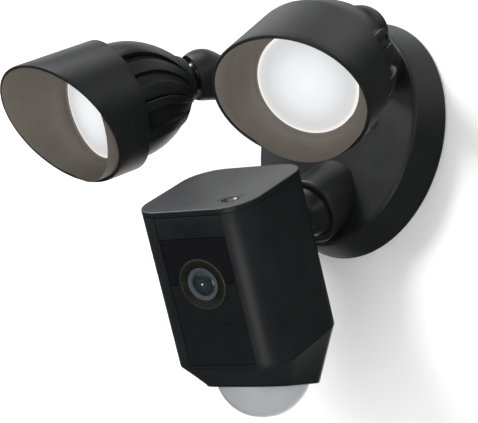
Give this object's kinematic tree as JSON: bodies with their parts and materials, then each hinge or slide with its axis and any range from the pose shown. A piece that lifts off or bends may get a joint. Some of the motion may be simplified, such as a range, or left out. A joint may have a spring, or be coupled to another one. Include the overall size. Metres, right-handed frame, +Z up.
{
  "type": "floodlight security camera",
  "caption": "Wall-mounted floodlight security camera: a round base carries hooded lamps and a boxy camera with a motion-sensor dome, all on ball joints.",
  "frame": {"origin": "centre of the base's back, on the wall plane", "axes": "+Y into the wall, the lamps and camera face -Y, +X to the right as seen from the front, +Z up"},
  "size_m": [0.2538, 0.1767, 0.231],
  "materials": {
    "black_metal": "satin",
    "black_plastic": "satin",
    "cap_plastic": "satin",
    "gloss_black": "gloss",
    "window": "gloss",
    "steel": "satin",
    "black_steel": "satin",
    "brass_green": "satin",
    "rubber": "matte",
    "board": "satin",
    "winding": "satin",
    "capacitor": "satin",
    "white_plastic": "satin",
    "acetal": "satin",
    "led_board": "satin",
    "led": "gloss",
    "reflector": "satin",
    "opal": "satin",
    "lens_metal": "satin",
    "lens_glass": "gloss",
    "dome": "satin",
    "sensor_can": "satin"
  },
  "bodies": {
    "base": {"base_housing": "black_metal", "wall_gasket": "rubber", "mounting_bracket": "steel", "bracket_studs": "steel", "stud_washers": "rubber", "cap_nuts": "black_steel", "ground_screw": "brass_green", "driver_board": "board", "transformer": "winding", "capacitors": "capacitor", "terminal_block": "white_plastic", "left_arm": "black_metal", "right_arm": "black_metal", "arm_seals": "rubber", "arm_nuts": "steel", "camera_socket": "black_metal", "socket_clamp": "steel"},
    "left_swivel": {"left_seat": "acetal"},
    "left_stem": {"left_ball": "black_metal", "left_stem_nut": "steel"},
    "left_lamp": {"left_heat_sink": "black_metal", "left_led_board": "led_board", "left_leds": "led", "left_reflector": "reflector", "left_diffuser": "opal", "left_lens_seal": "rubber", "left_hood": "black_metal"},
    "right_swivel": {"right_seat": "acetal"},
    "right_stem": {"right_ball": "black_metal", "right_stem_nut": "steel"},
    "right_lamp": {"right_heat_sink": "black_metal", "right_led_board": "led_board", "right_leds": "led", "right_reflector": "reflector", "right_diffuser": "opal", "right_lens_seal": "rubber", "right_hood": "black_metal"},
    "camera_swivel": {"camera_seat": "acetal"},
    "camera_stem": {"camera_ball": "black_plastic", "camera_stem_nut": "steel"},
    "camera": {"camera_shell": "black_plastic", "top_cap": "cap_plastic", "upper_fascia": "black_plastic", "ir_window": "window", "lower_fascia": "window", "lens_ring": "gloss_black", "lens_barrel": "lens_metal", "lens_glass": "lens_glass", "sensor_board": "board", "main_board": "board", "ir_leds": "led", "light_sensor": "gloss_black", "speaker": "black_plastic", "bottom_bezel": "black_plastic", "pir_dome": "dome", "pir_sensor": "sensor_can", "rear_cover": "black_plastic", "housing_screws": "steel"},
    "setup_button_cap": {"setup_button": "cap_plastic"}
  },
  "joints": [
    {"name": "left_lamp_pan", "type": "hinge", "parent": "base", "child": "left_swivel", "pos_m": [-0.066, -0.066, 0.035], "axis": [0, 0, 1], "range_deg": [-25, 25]},
    {"name": "left_lamp_tilt", "type": "hinge", "parent": "left_swivel", "child": "left_stem", "pos_m": [-0.066, -0.066, 0.035], "axis": [-0.9785, 0.2062, 0], "range_deg": [-25, 25]},
    {"name": "left_lamp_roll", "type": "hinge", "parent": "left_stem", "child": "left_lamp", "pos_m": [-0.066, -0.066, 0.035], "axis": [-0.1814, -0.8607, -0.4756], "range_deg": [-60, 60]},
    {"name": "right_lamp_pan", "type": "hinge", "parent": "base", "child": "right_swivel", "pos_m": [0.066, -0.066, 0.035], "axis": [0, 0, 1], "range_deg": [-25, 25]},
    {"name": "right_lamp_tilt", "type": "hinge", "parent": "right_swivel", "child": "right_stem", "pos_m": [0.066, -0.066, 0.035], "axis": [-0.9212, -0.3891, 0], "range_deg": [-12, 25]},
    {"name": "right_lamp_roll", "type": "hinge", "parent": "right_stem", "child": "right_lamp", "pos_m": [0.066, -0.066, 0.035], "axis": [0.312, -0.7386, -0.5976], "range_deg": [-60, 60]},
    {"name": "camera_pan", "type": "hinge", "parent": "base", "child": "camera_swivel", "pos_m": [0, -0.0303, -0.0444], "axis": [0, 0, 1], "range_deg": [-25, 20]},
    {"name": "camera_tilt", "type": "hinge", "parent": "camera_swivel", "child": "camera_stem", "pos_m": [0, -0.0303, -0.0444], "axis": [-0.9583, -0.2857, 0], "range_deg": [-20, 8]},
    {"name": "camera_roll", "type": "hinge", "parent": "camera_stem", "child": "camera", "pos_m": [0, -0.0303, -0.0444], "axis": [0.2444, -0.8197, -0.518], "range_deg": [-30, 30]},
    {"name": "setup_button_press", "type": "slide", "parent": "camera", "child": "setup_button_cap", "axis": [-0.148, 0.4964, -0.8554], "range_m": [0, 0.0006], "stiffness_N_per_m": 600, "springref_m": -0.0012}
  ]
}
